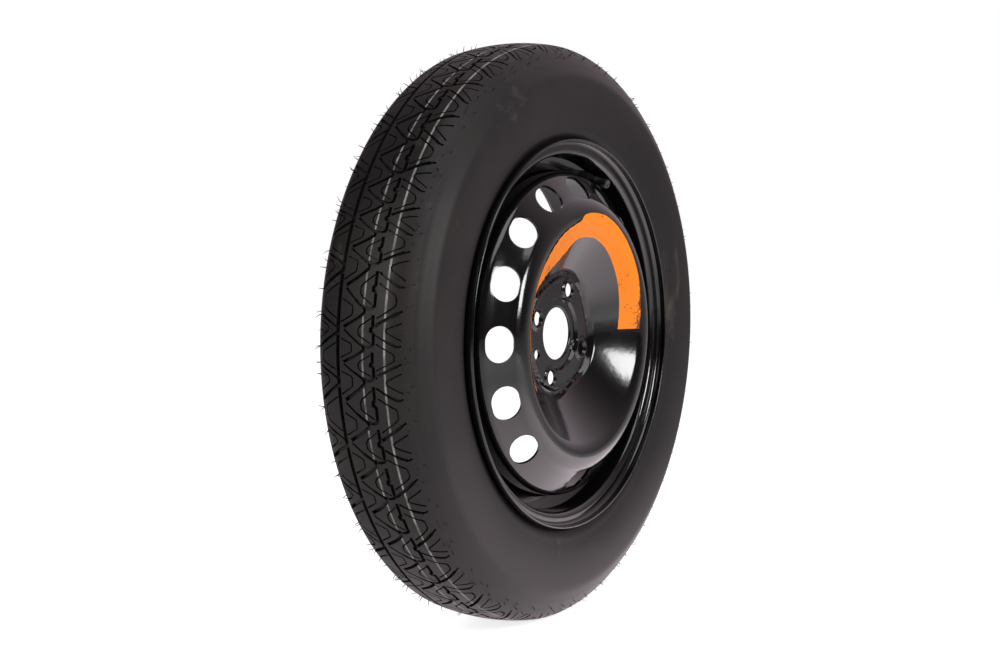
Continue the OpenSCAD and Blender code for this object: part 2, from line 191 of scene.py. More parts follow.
def thickened(piece, height):
    """Draws a flat piece out along Z into a closed solid."""
    only(piece)
    bpy.ops.object.mode_set(mode="EDIT")
    bpy.ops.mesh.select_all(action="SELECT")
    bpy.ops.mesh.extrude_region_move(TRANSFORM_OT_translate={"value": (0, 0, height)})
    bpy.ops.object.mode_set(mode="OBJECT")
    facing_out(piece)


def sliced(piece, heights):
    """Cuts rings of edges into the piece at those heights."""
    only(piece)
    bpy.ops.object.mode_set(mode="EDIT")
    for height in heights:
        bpy.ops.mesh.select_all(action="SELECT")
        bpy.ops.mesh.bisect(plane_co=(0, 0, height), plane_no=(0, 0, 1))
    bpy.ops.object.mode_set(mode="OBJECT")


def smoothed(piece, degrees):
    """Shades the piece smooth, apart from edges sharper than that angle."""
    only(piece)
    bpy.ops.object.shade_smooth_by_angle(angle=math.radians(degrees))


def apply_modifier(piece, kind, **settings):
    only(piece)
    modifier = piece.modifiers.new(kind.lower(), kind)
    for key, value in settings.items():
        setattr(modifier, key, value)
    bpy.ops.object.modifier_apply(modifier=modifier.name)


def cut(piece, tool, solver="EXACT"):
    apply_modifier(piece, "BOOLEAN", operation="DIFFERENCE", object=tool, solver=solver)
    bpy.data.objects.remove(tool)


def beside(path, t):
    """The path moved t to the right of its direction."""
    steps = np.diff(path, axis=0)
    steps /= np.linalg.norm(steps, axis=1)[:, None]
    before = np.concatenate([steps[:1], steps])
    after = np.concatenate([steps, steps[-1:]])
    side = np.stack([(before + after)[:, 1], -(before + after)[:, 0]], 1)
    return path + t * side / (1 + (before * after).sum(1))[:, None]


def slot_outline(path, width):
    """The outline of a slot of that width along a path, with points every 4 mm."""
    points = [path[0]]
    for a, b in zip(path[:-1], path[1:]):
        count = max(1, int(np.linalg.norm(b - a) / 4))
        points += [a + (b - a) * i / count for i in range(1, count + 1)]
    points = np.array(points)
    return np.concatenate([beside(points, -width / 2), beside(points, width / 2)[::-1]])


def groove_tool(paths, width, depth, shifts=(-1, 0, 1)):
    """All slots of one kind as one cutting tool, also where they reach in from the next group.
    Slots in one tool must not touch, and their outlines must not cross themselves."""
    deselect()
    bpy.ops.object.add(type="MESH")
    tool = bpy.context.object
    bpy.ops.object.mode_set(mode="EDIT")
    for path in paths:
        for shift in shifts:
            outline = slot_outline([p + np.array([shift * group_l, 0]) for p in path], width)
            if outline[:, 0].max() < 0.01 or outline[:, 0].min() > group_l - 0.01:
                continue
            bpy.ops.mesh.primitive_circle_add(vertices=len(outline), fill_type="NGON")
            mesh = bmesh.from_edit_mesh(tool.data)
            mesh.verts.ensure_lookup_table()
            for vertex, (x, y) in zip(mesh.verts[-len(outline):], outline):
                vertex.co = (x, y, -depth)
    bmesh.update_edit_mesh(tool.data)
    bpy.ops.object.mode_set(mode="OBJECT")
    thickened(tool, depth + 2)
    return tool


bold, thin, rings, wedges, sipes = [], [], [], [], []


def line(k, points):
    """A line on the flat tread, from pairs of width and angle past k."""
    return [flat(w, k + degrees) for w, degrees in points]


for i in range(3):
    k = first_middle + i * middle_pitch
    bold.append(line(k, [
        (11.2, -0.45), (11.9, 0.1), (11.6, 0.45), (10.2, 0.66), (4.7, 1.46), (-2.3, 2.26),
        (-10.9, 3.11),
    ]))
    thin.append(line(k, [(-10.6, -3.5), (1.5, -1.65)]))
    wedges.append(line(k, [(1.2, -1.7), (8, -0.81), (13, -0.39), (17.5, -0.25), (20.9, -0.45)]))
    rings.append(line(k, [
        (21.3, 0.7), (21.4, 3.05), (19.3, 3.35), (19.3, 3.8), (22.3, 4.05), (22.3, 6.25),
        (20.4, 6.72),
    ]))
    sipes.append(line(k, [
        (-13.5, -1.75), (-1.9, -0.78), (-1.3, -0.5), (-1.4, 0.62), (-2.1, 0.88), (-14.5, 2.2),
    ]))
    sipes.append(line(k, [(19.7, 1.3), (8, 2.85), (6, 3.45), (6.2, 4.4), (9, 4.95), (19.4, 6.1)]))
for j in range(2):
    k = first_shoulder + j * shoulder_pitch
    bold.append(line(k, [(23.6, 0.0), (43.4, -2.56)]))
    thin.append(line(k, [(43.4, -2.56), (46.5, -2.96)]))
    thin.append(line(k, [(24, 1.65), (35, 2.9)]))
    wedges.append(line(k, [(34.5, 2.85), (43.4, 3.85)]))
    thin.append(line(k, [(43.4, 3.85), (46.3, 3.7)]))
    bold.append(line(k, [(-19, 1.5), (-41, 4.1)]))
    thin.append(line(k, [(-41, 4.1), (-44.5, 4.5)]))
    thin.append(line(k, [(-19, 0.4), (-28, -0.6)]))
    wedges.append(line(k, [(-27.5, -0.55), (-41, -2.1)]))
    sipes.append(line(k, [
        (25, -7.2), (40.3, -5.45), (41.5, -4.95), (41.5, -3.8), (40, -3.4), (25, -1.5),
    ]))
    sipes.append(line(k, [(46.5, -0.73), (35.4, 0.45), (34.4, 0.75), (34.8, 1.15), (46.5, 2.7)]))
    sipes.append(line(k, [
        (-20, 3.45), (-35.6, 5.05), (-37.5, 5.7), (-37.5, 7.0), (-35.8, 7.5), (-20, 9.3),
    ]))
    sipes.append(line(k, [(-42, 2.6), (-30.3, 1.25), (-29.3, 0.8), (-31, 0.1), (-42, -0.85)]))
full_ring = [np.array([group_l * i / columns, -17.5]) for i in range(-1, columns + 2)]

tyre = new_grid("tyre_rubber", columns, 30)
moved_points(tyre, lambda co: co * (group_l, 2 * tread_edge, 1) + (group_l / 2, 0, 0))
thickened(tyre, -tread_thick)
cut(tyre, groove_tool([full_ring], 4.2, 4.5, (0,)))
for paths, width, depth in (
    (rings, 3.4, 4.4), (bold, 3.5, 4.2), (wedges, 2.9, 3.8), (thin, 2.1, 3.4), (sipes, 1.55, 2.8),
):
    cut(tyre, groove_tool(paths, width, depth))

# Only the outer skin of the flat strip is kept, and the sidewalls join it along its edges
mesh = bmesh.new()
mesh.from_mesh(tyre.data)


def on_cut_side(face):
    co = np.array([v.co for v in face.verts])
    low, high = co.min(0), co.max(0)
    return (
        high[2] < -tread_thick + 0.01
        or high[0] < 0.001
        or low[0] > group_l - 0.001
        or high[1] < -tread_edge + 0.001
        or low[1] > tread_edge - 0.001
    )


bmesh.ops.delete(mesh, geom=[face for face in mesh.faces if on_cut_side(face)], context="FACES")
mesh.to_mesh(tyre.data)
mesh.free()
side_rows = np.concatenate([
    np.arange(tread_edge, along[toe_at] - 30, 3.1),
    np.linspace(along[toe_at] - 30, along[toe_at], 14),
    along[toe_at + 1:],
])
for sign in (-1, 1):
    strip = new_grid("strip", columns, len(side_rows) - 1)

    def to_rows(co):
        row = np.rint((co[:, 1] + 0.5) * (len(side_rows) - 1)).astype(int)
        return np.stack([(co[:, 0] + 0.5) * group_l, sign * side_rows[row], 0 * co[:, 2]], 1)

    moved_points(strip, to_rows)
    if sign < 0:
        strip.data.flip_normals()
    joined([tyre, strip])
bpy.ops.object.mode_set(mode="EDIT")
bpy.ops.mesh.select_all(action="SELECT")
bpy.ops.mesh.remove_doubles(threshold=0.02)
bpy.ops.mesh.quads_convert_to_tris(quad_method="BEAUTY", ngon_method="BEAUTY")
bpy.ops.object.mode_set(mode="OBJECT")
apply_modifier(
    tyre, "ARRAY", count=pitch_groups, use_relative_offset=False, use_constant_offset=True,
    constant_offset_displace=(group_l, 0, 0), use_merge_vertices=True, merge_threshold=0.02,
)


# The mould's segments are of several lengths, so that the tread doesn't hum
pitch_at = [
    113, 117.5, 123.9, 125.5, 132.6, 134.5, 139.7, 145.1, 146.7, 153.8, 155.7, 160.8, 166.3, 167.9,
    174.9, 176.9, 182, 187.5, 189.1, 196.1, 198.1, 203.2, 208.6, 210.2, 217.3, 219.2, 224.4, 229.8,
    231.4, 238.5, 240.4, 252, 263, 276, 287, 300, 313, 326, 338, 350, 362, 375, 387, 399, 412, 424,
    436, 448, 460, 468,
]
pitch_shift = [
    -0.9, -0.9, -1.6, -1.6, -1.1, -0.6, 0.35, 0.9, 1.04, 0.55, 0.15, -0.25, -0.95, -0.6, 0.55, 0.5,
    0.35, -0.65, -0.45, 0.25, 0.15, 0.5, 0.55, 0.45, 0.95, 0.95, 0.9, 0.4, 0.3, -0.3, -0.1, -0.5,
    0.4, -0.3, 0.6, -0.5, 0.2, -0.6, 0.5, -0.2, 0.6, -0.4, 0.3, -0.6, 0.2, 0.5, -0.3, 0.4, -0.2,
    -0.6,
]


def pitched(degrees):
    """The angle round the wheel of a place on the flat tread."""
    even = np.asarray(degrees, float)
    uneven = even + np.interp(even, pitch_at, pitch_shift, period=360)
    return uneven + 3.13 * np.sin(np.radians(2 * even + 229.2))


def to_world(r, w, degrees):
    """A place in the frame, in metres, from radius, width and angle."""
    angle = np.radians(degrees)
    return np.stack([r * np.cos(angle), hub_offset - w, r * np.sin(angle)], -1) / 1000


def rolled_up(co):
    """The flat tread and sidewalls bent round the axle."""
    r, w, nr, nw = tyre_section(co[:, 1])
    degrees = pitched(group_start + np.degrees(co[:, 0] / tyre_r))
    return to_world(r + nr * co[:, 2], w + nw * co[:, 2], degrees)


moved_points(tyre, rolled_up)
facing_out(tyre, merge=0.00002)
smoothed(tyre, 32)


def linear(code):
    """A linear colour from an sRGB hex value."""
    parts = [int(code[i:i + 2], 16) / 255 for i in (1, 3, 5)]
    return [p / 12.92 if p <= 0.04045 else ((p + 0.055) / 1.055) ** 2.4 for p in parts] + [1.0]


def new_material(name):
    material = bpy.data.materials.new(name)
    material.use_nodes = True
    tree = material.node_tree
    return material, tree, tree.nodes["Principled BSDF"]


def add(tree, kind, inputs=None, **settings):
    """A node of that kind with its settings, and with values or other nodes' outputs on its inputs."""
    node = tree.nodes.new(kind)
    for key, value in settings.items():
        setattr(node, key, value)
    for key, value in (inputs or {}).items():
        if isinstance(value, bpy.types.NodeSocket):
            tree.links.new(value, node.inputs[key])
        else:
            node.inputs[key].default_value = value
    return node


# Vulcanised natural rubber with carbon black: a matt charcoal skin from the mould,
# browner where wax has come out of it, with pale scuffs and fine grain. Two lines of
# pale marking paint, worn and broken, run round the tops of the tread blocks.
rubber, tree, surface = new_material("vulcanised_rubber")
place = add(tree, "ShaderNodeTexCoord").outputs["Object"]
clouds = add(tree, "ShaderNodeTexNoise", {"Vector": place, "Scale": 9, "Detail": 5, "Roughness": 0.6})
skin = add(tree, "ShaderNodeValToRGB", {"Fac": clouds.outputs["Fac"]})
skin.color_ramp.elements[0].color = linear("#121011")
skin.color_ramp.elements[0].position = 0.38
skin.color_ramp.elements[1].color = linear("#1b1615")
skin.color_ramp.elements[1].position = 0.62
rubbed = add(tree, "ShaderNodeTexNoise", {
    "Vector": place, "Scale": 7, "Detail": 9, "Roughness": 0.72, "Distortion": 0.6,
})
scuffs = add(tree, "ShaderNodeMapRange", {
    "Value": rubbed.outputs["Fac"], "From Min": 0.6, "From Max": 0.75, "To Min": 0.0, "To Max": 0.4,
})
scuffed = add(tree, "ShaderNodeMix", {
    "Factor": scuffs.outputs["Result"], "A": skin.outputs["Color"],
}, data_type="RGBA")
scuffed.inputs["B"].default_value = linear("#6b655c")
axes = add(tree, "ShaderNodeSeparateXYZ", {"Vector": place})
round_axle = add(tree, "ShaderNodeCombineXYZ", {"X": axes.outputs["X"], "Y": axes.outputs["Z"]})
radius = add(tree, "ShaderNodeVectorMath", {0: round_axle.outputs["Vector"]}, operation="LENGTH")
across = add(tree, "ShaderNodeMapRange", {"Value": axes.outputs["Y"], "From Min": 0.032, "From Max": -0.018})
stripe = add(tree, "ShaderNodeValToRGB", {"Fac": across.outputs["Result"]})
stripe.color_ramp.elements[0].color = stripe.color_ramp.elements[1].color = (0, 0, 0, 1)
for middle, half in ((10.9, 0.75), (33.3, 0.85)):
    for offset, value in ((-half - 0.25, 0), (-half, 1), (half, 1), (half + 0.25, 0)):
        stop = stripe.color_ramp.elements.new((middle + offset) / 50)
        stop.color = (value, value, value, 1)
crowned = add(tree, "ShaderNodeMath", {0: axes.outputs["Y"], 1: -0.032}, operation="ADD")
crown_fall = add(tree, "ShaderNodeMath", {
    0: crowned.outputs["Value"], 1: crowned.outputs["Value"],
}, operation="MULTIPLY")
height = add(tree, "ShaderNodeMath", {
    0: crown_fall.outputs["Value"], 1: 2.83, 2: radius.outputs["Value"],
}, operation="MULTIPLY_ADD")
on_top = add(tree, "ShaderNodeMapRange", {
    "Value": height.outputs["Value"], "From Min": 0.3042, "From Max": 0.3047,
})
worn_off = add(tree, "ShaderNodeTexNoise", {"Vector": place, "Scale": 75, "Detail": 4, "Roughness": 0.65})
left_over = add(tree, "ShaderNodeMapRange", {
    "Value": worn_off.outputs["Fac"], "From Min": 0.36, "From Max": 0.6, "To Min": 0.2, "To Max": 0.85,
})
painted = add(tree, "ShaderNodeMath", {
    0: stripe.outputs["Color"], 1: on_top.outputs["Result"],
}, operation="MULTIPLY")
paint_share = add(tree, "ShaderNodeMath", {
    0: painted.outputs["Value"], 1: left_over.outputs["Result"],
}, operation="MULTIPLY")
marked = add(tree, "ShaderNodeMix", {
    "Factor": paint_share.outputs["Value"], "A": scuffed.outputs["Result"],
}, data_type="RGBA")
marked.inputs["B"].default_value = linear("#908c86")
tree.links.new(marked.outputs["Result"], surface.inputs["Base Color"])
grain = add(tree, "ShaderNodeTexNoise", {"Vector": place, "Scale": 900, "Detail": 3})
bump = add(tree, "ShaderNodeBump", {"Height": grain.outputs["Fac"], "Strength": 0.25, "Distance": 0.0004})
tree.links.new(bump.outputs["Normal"], surface.inputs["Normal"])
surface.inputs["Roughness"].default_value = 0.5
surface.inputs["Specular IOR Level"].default_value = 0.24


def finished(piece, material, body, *nodes, slot=None):
    """Gives the piece its material and its body, and hides the nodes that it stands for. The slot is not
    used.
    """
    piece.data.materials.clear()
    piece.data.materials.append(material)
    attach(piece, body)
    if nodes:
        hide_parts(*nodes)


finished(tyre, rubber, "wheel", "tyre", slot="tyre")

# The hairs are rubber that ran into the mould's vents and came out with the tyre. Each
# is a thin bent spike, joined to the tread at its root.
random.seed(4)
deselect()
bpy.ops.mesh.primitive_cone_add(vertices=5, radius1=0.5, radius2=0.24, depth=1, location=(0, 0, 0.5))
hair = bpy.context.object
bpy.ops.object.transform_apply(location=True)
sliced(hair, (0.33, 0.66))
hair_points = np.array([v.co for v in hair.data.vertices])
hair_faces = [list(f.vertices) for f in hair.data.polygons]
bpy.data.objects.remove(hair)
points, faces = [], []
# Where the mould's vents are: the width, and the share of the way to the next pitch
hair_rows = [
    (-44, 0.05), (-44, 0.55), (-41.5, 0.16), (-41.5, 0.66), (-36, 0.3), (-36, 0.8), (-25, 0.5),
    (48, 0.0), (48, 0.25), (48, 0.5), (48, 0.75), (52, 0.4), (52, 0.9),
]
for i in range(2 * pitch_groups):
    for w, share in hair_rows:
        if random.random() < 0.12:
            continue
        hair_w = w + random.uniform(-1.5, 1.5)
        spot = flat(hair_w, group_start + (i + share + random.uniform(-0.2, 0.2)) * shoulder_pitch)
        r, ww, nr, nw = (float(v) for v in tyre_section(np.array([spot[1]]))[:4])
        degrees = float(pitched(group_start + math.degrees(spot[0] / tyre_r)))
        angle = math.radians(degrees)
        out = np.array([nr * math.cos(angle), -nw, nr * math.sin(angle)])
        root = to_world(r - 0.3, ww, degrees)
        length = random.uniform(3.5, 6.5) if w < 0 else random.uniform(2.5, 4.5)
        lean = np.array([random.gauss(0, 1) for _ in range(3)])
        lean -= out * (lean @ out)
        lean /= np.linalg.norm(lean)
        side = np.cross(out, lean)
        droop = random.uniform(0.2, 0.9)
        h = hair_points[:, 2]
        local = (
            np.outer(hair_points[:, 0], lean)
            + np.outer(hair_points[:, 1], side)
            + np.outer(h * length, out)
            + np.outer(h ** 2 * length * droop, lean)
        )
        faces += [[len(points) + v for v in f] for f in hair_faces]
        points += list(root + local / 1000)
hairs_mesh = bpy.data.meshes.new("tyre_hairs")
hairs_mesh.from_pydata([tuple(p) for p in points], [], faces)
hairs = bpy.data.objects.new("tyre_hairs", hairs_mesh)
bpy.context.scene.collection.objects.link(hairs)
finished(hairs, rubber, "wheel", slot="tyre")

# The rim is rolled from one strip of 2.2 mm steel: two flanges, two bead seats and a
# drop-centre well, painted black after the disc is welded in.
rim_t = 2.2
curl_r = 7.6
seat_edge = 31.0


def filleted(path, radius, steps=6):
    """The path with each corner rounded, as a press tool leaves it."""
    path = [np.array(p, float) for p in path]
    made = [path[0]]
    for a, b, c in zip(path[:-2], path[1:-1], path[2:]):
        u, v = a - b, c - b
        lu, lv = np.linalg.norm(u), np.linalg.norm(v)
        u, v = u / lu, v / lv
        turn = math.pi - math.acos(max(-1.0, min(1.0, float(u @ v))))
        if turn < 0.02:
            made.append(b)
            continue
        back = min(radius * math.tan(turn / 2), 0.45 * lu, 0.45 * lv)
        made += list(bezier(b + u * back, b, b + v * back, steps))
    made.append(path[-1])
    return np.array(made)


def sheet_section(path, t):
    """A sheet of thickness t beside a path, with its two edges rounded."""
    other = beside(path, t)[::-1]
    ends = []
    for a, b, away in ((path[-1], other[0], path[-1] - path[-2]), (other[-1], path[0], path[0] - path[1])):
        away = away / np.linalg.norm(away) * abs(t) / 2
        middle, half = (a + b) / 2, (a - b) / 2
        ends.append([middle + half * math.cos(x) + away * math.sin(x) for x in (0.6, 1.1, 1.57, 2.04, 2.54)])
    return np.concatenate([path, ends[0], other, ends[1]])


def spun(name, ring, steps, axis=(0, 1, 0)):
    """A closed ring of points, in metres, spun round an axis through the origin."""
    deselect()
    bpy.ops.mesh.primitive_circle_add(vertices=len(ring), radius=1)
    piece = bpy.context.object
    piece.name = name
    moved_points(piece, lambda co: ring)
    bpy.ops.object.mode_set(mode="EDIT")
    bpy.ops.mesh.select_all(action="SELECT")
    bpy.ops.mesh.spin(steps=steps, angle=2 * math.pi, center=(0, 0, 0), axis=axis)
    bpy.ops.object.mode_set(mode="OBJECT")
    facing_out(piece, merge=0.000002)
    return piece


curl_c = np.array([bead_r + 14.5 - curl_r, flange_w + curl_r])
curl = arc(curl_c, curl_r, 30, -90, 18)
heel = arc(heel_c, heel_fillet, 90, 185, 8)
upright = np.array([1, -1])
rim_path = np.concatenate([
    curl,
    heel,
    filleted([
        heel[-1], (seat_r(seat_edge), seat_edge), (187.4, 28.96), (173.8, 25.06), (173, 23.6), (173, -6),
        (174.6, -10), (186.6, -26.5), (seat_r(seat_edge), -seat_edge), heel[-1] * upright,
    ], 6)[1:-1],
    heel[::-1] * upright,
    curl[::-1] * upright,
])
rim = spun("rim_steel", to_world(*sheet_section(rim_path, rim_t).T, 0), 256)


def on_wheel(degrees, r, w, tilt):
    """A place on the wheel at that angle, radius and width, with its Z tilted from the axle."""
    return (
        Matrix.Translation((0, hub_offset / 1000, 0))
        @ Matrix.Rotation(math.radians(90), 4, "X")
        @ Matrix.Rotation(math.radians(degrees), 4, "Z")
        @ Matrix.Translation((r / 1000, 0, w / 1000))
        @ Matrix.Rotation(math.radians(tilt), 4, "Y")
    )


# The hole for the valve goes through the slanted wall between well and seat
valve_deg, valve_r, valve_w, valve_tilt = 68.2, 180.2, 28.04, -16
valve_hole_r = 0.00575
valve_place = on_wheel(valve_deg, valve_r, valve_w, valve_tilt)
deselect()
bpy.ops.mesh.primitive_cylinder_add(vertices=48, radius=valve_hole_r, depth=0.012)
drill = bpy.context.object
drill.data.transform(valve_place)
cut(rim, drill)
smoothed(rim, 40)

# Black cathodic primer and gloss topcoat on pressed steel: a deep, slightly wavy gloss,
# with the finest dust in it.
paint, tree, surface = new_material("gloss_black_paint")
place = add(tree, "ShaderNodeTexCoord").outputs["Object"]
wave = add(tree, "ShaderNodeTexNoise", {"Vector": place, "Scale": 160, "Detail": 2})
bump = add(tree, "ShaderNodeBump", {"Height": wave.outputs["Fac"], "Strength": 0.12, "Distance": 0.0006})
tree.links.new(bump.outputs["Normal"], surface.inputs["Normal"])
smudge = add(tree, "ShaderNodeTexNoise", {"Vector": place, "Scale": 14, "Detail": 5, "Roughness": 0.6})
gloss = add(tree, "ShaderNodeMapRange", {
    "Value": smudge.outputs["Fac"], "From Min": 0.35, "From Max": 0.75, "To Min": 0.09, "To Max": 0.16,
})
tree.links.new(gloss.outputs["Result"], surface.inputs["Roughness"])
surface.inputs["Base Color"].default_value = linear("#0c0b0c")
finished(rim, paint, "wheel", "rim", slot="black_steel")

# The disc is pressed from one blank of 3 mm steel: a band that fits in the well, a row
# of punched vents, a high round crown and a bowl with the hub pad at the bottom.
disc_t = 3.0
band_r = 170.8
bore_r = 29.05
face_w = 35.0
shoulder_c, shoulder_r = (158.8, 41.7), 12.0
crown_c, crown_r = np.array([127, 51.65]), 23.75
slope_deg = 52.0
bowl_tilt = math.radians(32.6)
dish_r = 14.0
wall_sag = 1.6
bowl_top = crown_c + crown_r * np.array([-math.sin(bowl_tilt), math.cos(bowl_tilt)])
dish_w = face_w + dish_r
dish_c = (bowl_top[0] + (dish_w - bowl_top[1]) / math.tan(bowl_tilt) - dish_r / math.sin(bowl_tilt), dish_w)
dish = arc(dish_c, dish_r, math.degrees(bowl_tilt) - 90, -90, 8)
slope_count = 46
wall = np.linspace(bowl_top, dish[0], slope_count)
wall[:, 1] -= wall_sag * np.sin(np.linspace(0, math.pi, slope_count))
disc_front = np.concatenate([
    np.stack([np.full(6, band_r), np.linspace(-2, 41, 6)], 1),
    arc(shoulder_c, shoulder_r, 0, slope_deg, 10)[1:],
    [[160.5, 54.7], [156.5, 57.85], [152, 61.35], [148, 64.5], [144.5, 67.3]],
    arc(crown_c, crown_r, slope_deg, math.degrees(bowl_tilt) + 90, 22),
    wall[1:-1],
    dish,
    np.stack([np.linspace(52.79, bore_r, 22)[1:], np.full(21, face_w)], 1),
])
disc = spun("disc_steel", to_world(*sheet_section(disc_front, -disc_t).T, 0), 336)


def step(value):
    t = np.clip(value, 0, 1)
    return t * t * (3 - 2 * t)


def square_distance(x, z, half, corner):
    """How far a point is outside a square with round corners that point at the bolt holes."""
    turn = math.radians(valve_deg - 45)
    u = np.abs(x * math.cos(turn) + z * math.sin(turn)) - (half - corner)
    v = np.abs(-x * math.sin(turn) + z * math.cos(turn)) - (half - corner)
    return np.hypot(np.maximum(u, 0), np.maximum(v, 0)) + np.minimum(np.maximum(u, v), 0) - corner


past_shoulder = disc_front[16:]
bowl_r, bowl_w = past_shoulder[np.argsort(past_shoulder[:, 0])].T
pocket_half, pocket_corner, pocket_slope = 61.5, 52, 1.9
pad_half, pad_corner, pad_rise, pad_inner_r = 57.5, 46, 3, 37.2
collar_r, collar_rise = 13, 2
bolt_circle_r = 49.0
bolt_angles = [math.radians(valve_deg + 90 * i) for i in range(4)]
bolts = [(bolt_circle_r * math.cos(a), bolt_circle_r * math.sin(a)) for a in bolt_angles]


def pressed_hub(co):
    """Presses the pocket, the raised pad and the collars of the bolt holes into the bowl."""
    x, z = co[:, 0] * 1000, co[:, 2] * 1000
    r = np.hypot(x, z)
    bowl = np.interp(r, bowl_r, bowl_w)
    wall = face_w + np.maximum(square_distance(x, z, pocket_half, pocket_corner), 0) * pocket_slope
    blend = np.clip(0.5 + 0.5 * (wall - bowl) / 1.2, 0, 1)
    pocket = wall * (1 - blend) + bowl * blend - 1.2 * blend * (1 - blend) * 0.5
    pad = pad_rise * step(-square_distance(x, z, pad_half, pad_corner) / 2.6) * step((r - pad_inner_r) / 1.6)
    collar = sum(collar_rise * step((collar_r - np.hypot(x - bx, z - bz)) / 2.2) for bx, bz in bolts)
    change = np.where(r < 84, pocket + pad + collar - bowl, 0)
    return co - np.stack([0 * r, change / 1000, 0 * r], 1)


moved_points(disc, pressed_hub)


vent_places = 16
blank_place = 11
vent_half, vent_stretch = 15, 2.9
vent_deg, vent_r, vent_w, vent_tilt = 0.3, 152.9, 60.4, 38
punch_depth = 16


def vent_tool():
    """Fifteen punches the shape of a vent, each square to the slope, and none opposite the valve."""
    deselect()
    bpy.ops.mesh.primitive_circle_add(vertices=64, radius=vent_half, fill_type="NGON")
    tool = bpy.context.object

    def stretched(co):
        aside = np.where(co[:, 1] > 0, vent_stretch, -vent_stretch)
        return co + np.stack([0 * aside, aside, 0 * aside - punch_depth / 2], 1)

    moved_points(tool, stretched)
    thickened(tool, punch_depth)
    punches = []
    for i in range(vent_places):
        if i == blank_place:
            continue
        punch = bpy.data.objects.new("punch", tool.data.copy())
        bpy.context.scene.collection.objects.link(punch)
        place = on_wheel(vent_deg + 360 / vent_places * i, vent_r, vent_w, vent_tilt)
        punch.data.transform(place @ Matrix.Scale(0.001, 4))
        punches.append(punch)
    bpy.data.objects.remove(tool)
    return joined(punches)


cut(disc, vent_tool())


def drill_at(x, z, profile):
    """A stepped drill along the axle: pairs of w and radius, in millimetres."""
    deselect()
    bpy.ops.mesh.primitive_cylinder_add(vertices=64, radius=1, depth=1)
    tool = bpy.context.object
    sliced(tool, [i / (len(profile) - 1) - 0.5 for i in range(1, len(profile) - 1)])
    table = np.array(profile, float)

    def shaped(co):
        at = (co[:, 2] + 0.5) * (len(table) - 1)
        w = np.interp(at, range(len(table)), table[:, 0])
        radius = np.interp(at, range(len(table)), table[:, 1])
        return np.stack([x + co[:, 0] * radius, hub_offset - w, z + co[:, 1] * radius], 1) / 1000

    moved_points(tool, shaped)
    facing_out(tool)
    return tool


bolt_profile = [(28, 6.6), (36.2, 6.6), (40.0, 8.8), (40.3, 9.7), (44, 9.7)]
pin_profile = [(28, 5.2), (37.4, 5.2), (38.3, 6.1), (44, 6.1)]
pin_angle = math.radians(203.2)
pin_x, pin_z = bolt_circle_r * math.cos(pin_angle), bolt_circle_r * math.sin(pin_angle)
drills = [drill_at(x, z, bolt_profile) for x, z in bolts] + [drill_at(pin_x, pin_z, pin_profile)]
cut(disc, joined(drills))
smoothed(disc, 35)
finished(disc, paint, "wheel", "wheel_disc", slot="black_steel")

# Six weld beads hold the disc's band in the well. Each bead is a row of ripples where
# the arc paused, and is painted over.
bead_count = 6
bead_slices = 90
bead_deg, bead_span = 13, 34
bead_half = 1.75
bead_parts = []
for i in range(bead_count):
    deselect()
    bpy.ops.mesh.primitive_cylinder_add(vertices=12, radius=1, depth=1)
    bead = bpy.context.object
    sliced(bead, [k / bead_slices - 0.5 for k in range(1, bead_slices)])
    start = 360 / bead_count * i + bead_deg

    def laid(co):
        t = co[:, 2] + 0.5
        ripple = 1 + 0.09 * np.sin(t * 200) + 0.05 * np.sin(t * 61 + i)
        end = np.sqrt(np.clip(np.minimum(t, 1 - t) * 60, 0.06, 1))
        radius = bead_half * ripple * end
        return to_world(169.75 + co[:, 0] * radius, -2.9 + co[:, 1] * radius, start + bead_span * t)

    moved_points(bead, laid)
    bead_parts.append(bead)
beads = joined(bead_parts)
beads.name = "weld_beads"
facing_out(beads)
smoothed(beads, 60)
finished(beads, paint, "wheel", "disc_welds", slot="black_steel")

# The label is a band of printed film stuck on the bowl by hand: flat and square-ended
# on the right, creased and pulled in at the top left. It is bare here.
label = new_grid("label_film", 220, 14)
label_angle = [-1, 0, 30, 60, 75, 90, 96, 99, 105, 110, 120, 130, 150, 180, 203, 213]
label_outer = [115.8, 116, 124, 128, 129, 127.2, 125.8, 120.5, 119, 119, 118.5, 117.5, 116, 117, 113, 98]
label_inner = [93.9, 94, 100, 104, 104.5, 101, 96, 91, 83.5, 80, 77.5, 78, 81, 84, 88, 92]


def stuck_on(co):
    degrees = (co[:, 0] + 0.5) * label_angle[-1]
    across = co[:, 1] + 0.5
    outer = np.interp(degrees, label_angle, label_outer)
    inner = np.interp(degrees, label_angle, label_inner)
    r = inner + (outer - inner) * across
    w = np.interp(r, bowl_r, bowl_w)
    slope = np.interp(r + 0.5, bowl_r, bowl_w) - np.interp(r - 0.5, bowl_r, bowl_w)
    size = np.hypot(1, slope)
    loose = step((degrees - 92) / 8) * step((150 - degrees) / 20)
    crease = np.sin(degrees * 1.9 + across * 5) * np.sin(degrees * 0.83 - across * 7 + 1)
    lift = 0.12 + loose * (0.35 + 0.45 * crease + 0.9 * (1 - across) ** 2 + 0.5 * across ** 6)
    lift = np.maximum(lift, 0.1)
    return to_world(r - lift * slope / size, w + lift / size, degrees)


moved_points(label, stuck_on)
apply_modifier(label, "SOLIDIFY", thickness=0.00018, offset=1)
facing_out(label)
smoothed(label, 40)

